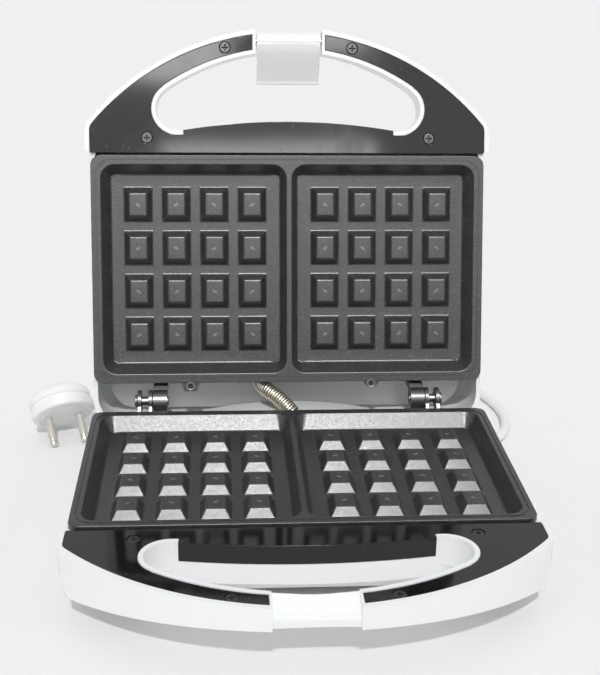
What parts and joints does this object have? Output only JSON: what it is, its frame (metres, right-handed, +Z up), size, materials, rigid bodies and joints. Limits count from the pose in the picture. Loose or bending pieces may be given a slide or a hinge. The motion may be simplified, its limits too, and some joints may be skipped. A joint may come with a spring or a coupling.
{
  "type": "waffle maker",
  "caption": "Hinged electric waffle maker standing open, with grid-patterned baking plates, arched handles with dark inserts, a latch clip, and a mains cord with a round plug.",
  "frame": {"origin": "centre of the appliance's outline as it stands open, on the table top; the cord and plug are left out", "axes": "+X to the right seen from the handle, +Y from the handle towards the hinge, +Z up"},
  "size_m": [0.3031, 0.3962, 0.2451],
  "materials": {
    "white_plastic": "smooth white moulding",
    "black_plastic": "high-gloss black",
    "non_stick_plate": "satin dark non-stick coating with fine sparkle",
    "hinge_steel": "dark grey, satin",
    "bright_steel": "bright plated",
    "element_sheath": "heat-darkened",
    "tray_sheet": "plain sheet",
    "foot_rubber": "matt",
    "terminal_plastic": "matt",
    "wire_sleeve": "woven silicone sleeve",
    "cord_plastic": "soft white sheath",
    "plug_plastic": "moulded white",
    "pin_metal": "nickel-plated",
    "red_lens": "clear red",
    "green_lens": "clear green"
  },
  "bodies": {
    "base": {"base_shell": "white_plastic", "base_handle_insert": "black_plastic", "base_insert_screws": "bright_steel", "lower_plate": "non_stick_plate", "lower_plate_screws": "bright_steel", "lower_heating_element": "element_sheath", "lower_heat_tray": "tray_sheet", "hinge_bracket_left": "hinge_steel", "hinge_bracket_right": "hinge_steel", "bracket_screws": "bright_steel", "hinge_pin_left": "bright_steel", "hinge_pin_right": "bright_steel", "rubber_feet": "foot_rubber", "foot_screws": "bright_steel", "terminal_block": "terminal_plastic", "base_wires": "wire_sleeve", "cord_clamp": "terminal_plastic", "strain_relief": "cord_plastic", "power_cord": "cord_plastic", "plug_body": "plug_plastic", "plug_pins": "pin_metal", "conduit_spring": "bright_steel"},
    "lid": {"lid_shell": "white_plastic", "lid_handle_insert": "black_plastic", "lid_insert_screws": "bright_steel", "upper_plate": "non_stick_plate", "upper_plate_screws": "bright_steel", "upper_heating_element": "element_sheath", "upper_heat_tray": "tray_sheet", "lid_hinge_left": "hinge_steel", "lid_hinge_right": "hinge_steel", "lid_hinge_screws": "bright_steel", "thermostat": "tray_sheet", "thermal_fuse": "tray_sheet", "power_lens": "red_lens", "ready_lens": "green_lens", "lamp_board": "terminal_plastic", "lid_wires": "wire_sleeve", "latch_pin": "bright_steel"},
    "latch": {"latch_clip": "white_plastic"}
  },
  "joints": [
    {"name": "lid_hinge", "type": "hinge", "parent": "base", "child": "lid", "pos_m": [0, 0.0709, 0.0399], "axis": [1, 0, 0], "range_deg": [0, 105], "deforming": ["conduit_spring"]},
    {"name": "latch_pivot", "type": "hinge", "parent": "lid", "child": "latch", "pos_m": [0, 0.12944, 0.2379], "axis": [-1, 0, 0], "range_deg": [-20, 150]}
  ]
}
